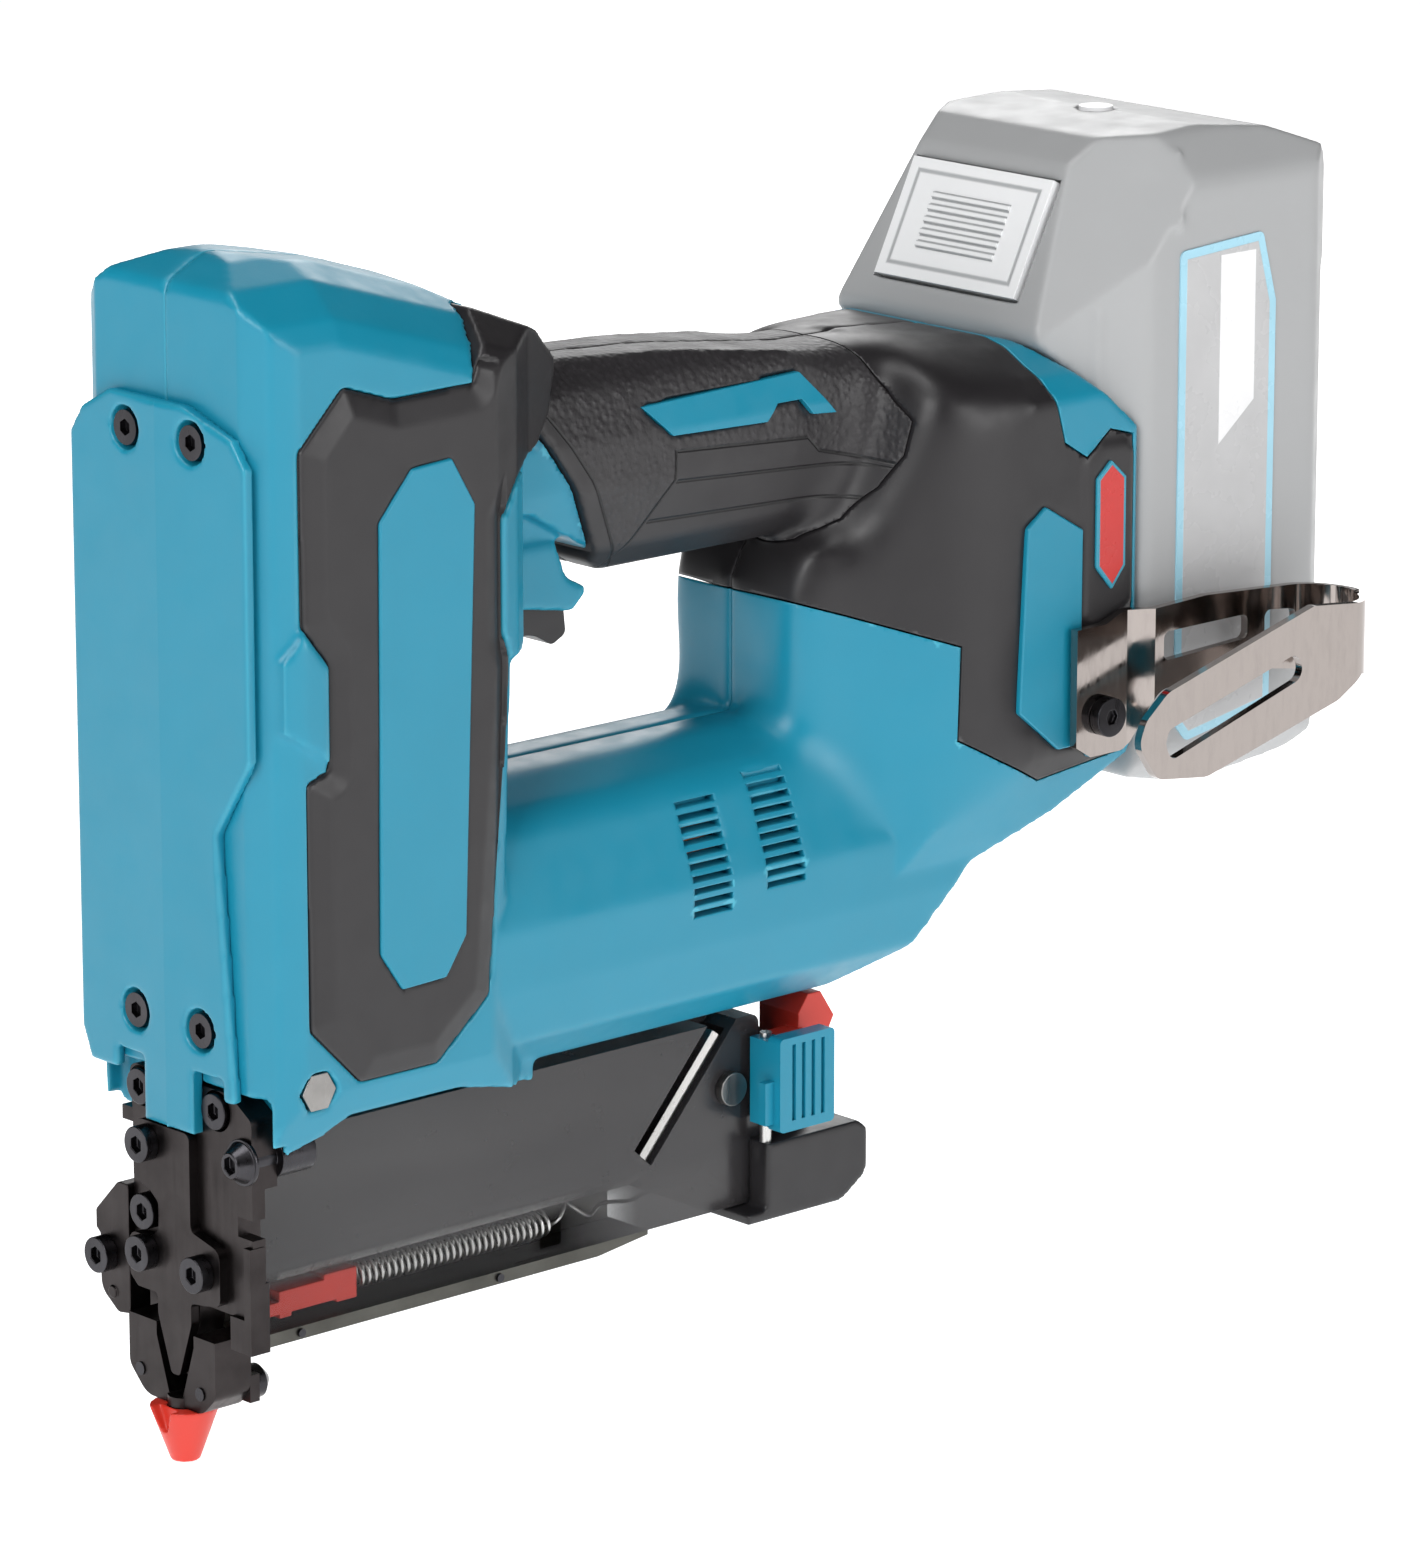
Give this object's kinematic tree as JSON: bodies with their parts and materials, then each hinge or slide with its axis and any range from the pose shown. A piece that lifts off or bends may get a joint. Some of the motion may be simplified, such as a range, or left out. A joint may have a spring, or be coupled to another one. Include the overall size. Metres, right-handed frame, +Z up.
{
  "type": "brad nailer",
  "caption": "Cordless nailer with a faceted driving head, horizontal motor barrel, bridge handle, rear battery pack, sliding magazine and folded belt hook.",
  "frame": {"origin": "the nail exit at the tip of the nose cap", "axes": "+X from the nose side to the battery side, +Y to the operator's right, +Z up along the driving axis"},
  "size_m": [0.2811, 0.1017, 0.2319],
  "materials": {
    "teal_plastic": "fine moulded satin",
    "black_plastic": "fine moulded satin",
    "grip_rubber": "stippled soft grip",
    "smoked_plastic": "smoked translucent",
    "black_steel": "black oxide",
    "screw_steel": "black oxide, slightly polished",
    "rail_steel": "drawn steel",
    "bright_steel": "ground steel",
    "nickel": "polished nickel",
    "red_plastic": "moulded",
    "brass_wire": "drawn wire",
    "pack_grey": "pale grey satin",
    "pack_white": "white moulded",
    "label_film": "printed film, blank",
    "cell_wrap": "shrink film",
    "copper_windings": "lacquered copper and steel",
    "cast_aluminium": "die cast",
    "damper_rubber": "moulded",
    "circuit": "solder mask"
  },
  "bodies": {
    "tool": {"housing_left": "teal_plastic", "housing_right": "teal_plastic", "front_cover": "teal_plastic", "nameplates": "teal_plastic", "grip_bands": "teal_plastic", "rear_inserts": "teal_plastic", "side_pad_left": "black_plastic", "side_pad_right": "black_plastic", "rear_cover_left": "black_plastic", "rear_cover_right": "black_plastic", "terminal_block": "black_plastic", "switch_body": "black_plastic", "grip_left": "grip_rubber", "grip_right": "grip_rubber", "driver_guide": "black_steel", "front_plate": "black_steel", "side_bracket": "black_steel", "housing_screws": "screw_steel", "head_bolt": "screw_steel", "nose_screws": "screw_steel", "boss_screw": "screw_steel", "hook_screw": "screw_steel", "magazine_rail": "rail_steel", "dowel_pins": "bright_steel", "rail_rivets": "bright_steel", "trigger_pin": "bright_steel", "guide_rod": "bright_steel", "main_spring": "bright_steel", "contact_spring": "bright_steel", "motor_bearings": "bright_steel", "belt_hook": "nickel", "emblem_plates": "red_plastic", "motor_stator": "copper_windings", "gear_case": "cast_aluminium", "plunger_bumper": "damper_rubber", "controller_board": "circuit"},
    "trigger": {"trigger": "black_plastic"},
    "contact_foot": {"contact_foot": "black_steel", "foot_rivets": "screw_steel"},
    "nose_cap": {"nose_cap": "red_plastic"},
    "magazine": {"magazine_body": "smoked_plastic", "magazine_bolt": "screw_steel", "lockout_spring": "brass_wire", "pusher_spring": "bright_steel", "hex_key": "bright_steel", "end_block": "black_plastic", "lever_pin": "bright_steel"},
    "pusher": {"pusher": "red_plastic"},
    "release_lever": {"release_lever": "teal_plastic", "catch": "red_plastic"},
    "battery": {"battery_case": "pack_grey", "battery_cells": "cell_wrap", "battery_labels": "label_film"},
    "battery_latch": {"battery_latch": "pack_white"},
    "gauge_button": {"gauge_button": "pack_white"},
    "plunger": {"plunger": "bright_steel"},
    "rotor": {"motor_rotor": "copper_windings", "cooling_fan": "black_plastic"},
    "lift": {"lift_wheel": "bright_steel", "drive_gear": "bright_steel"}
  },
  "joints": [
    {"name": "trigger_hinge", "type": "hinge", "parent": "tool", "child": "trigger", "pos_m": [0.0755, 0, 0.159], "axis": [0, -1, 0], "range_deg": [0, 7], "stiffness_Nm_per_rad": 1.2, "springref_deg": -2.86},
    {"name": "contact_slide", "type": "slide", "parent": "tool", "child": "contact_foot", "axis": [0, 0, 1], "range_m": [0, 0.004], "stiffness_N_per_m": 800, "springref_m": -0.001, "deforming": ["contact_spring"]},
    {"name": "cap_slide", "type": "slide", "parent": "contact_foot", "child": "nose_cap", "axis": [0, 0, -1], "range_m": [0, 0.015]},
    {"name": "magazine_slide", "type": "slide", "parent": "tool", "child": "magazine", "axis": [1, 0, 0], "range_m": [0, 0.1]},
    {"name": "pusher_slide", "type": "slide", "parent": "magazine", "child": "pusher", "axis": [1, 0, 0], "range_m": [0, 0.06], "stiffness_N_per_m": 60, "springref_m": -0.05, "deforming": ["pusher_spring"]},
    {"name": "lever_hinge", "type": "hinge", "parent": "magazine", "child": "release_lever", "pos_m": [0.1332, -0.0176, 0.05], "axis": [0, 0, 1], "range_deg": [0, 6], "stiffness_Nm_per_rad": 0.4, "springref_deg": -5.73},
    {"name": "battery_slide", "type": "slide", "parent": "tool", "child": "battery", "axis": [0, 0, 1], "range_m": [0, 0.09]},
    {"name": "latch_press", "type": "slide", "parent": "battery", "child": "battery_latch", "axis": [0.897, 0, -0.442], "range_m": [0, 0.002], "stiffness_N_per_m": 1500, "springref_m": -0.001},
    {"name": "gauge_press", "type": "slide", "parent": "battery", "child": "gauge_button", "axis": [0, 0, -1], "range_m": [0, 0.0008], "stiffness_N_per_m": 900, "springref_m": -0.0005},
    {"name": "plunger_slide", "type": "slide", "parent": "tool", "child": "plunger", "axis": [0, 0, 1], "range_m": [0, 0.045], "stiffness_N_per_m": 900, "springref_m": -0.02, "deforming": ["main_spring"]},
    {"name": "rotor_spin", "type": "hinge", "parent": "tool", "child": "rotor", "pos_m": [0.1, 0, 0.097], "axis": [1, 0, 0], "continuous": true},
    {"name": "lift_spin", "type": "hinge", "parent": "tool", "child": "lift", "pos_m": [0.05, 0, 0.117], "axis": [1, 0, 0], "continuous": true}
  ],
  "couplings": [
    {"joint": "rotor_spin", "follows": "lift_spin", "ratio": -3}
  ]
}
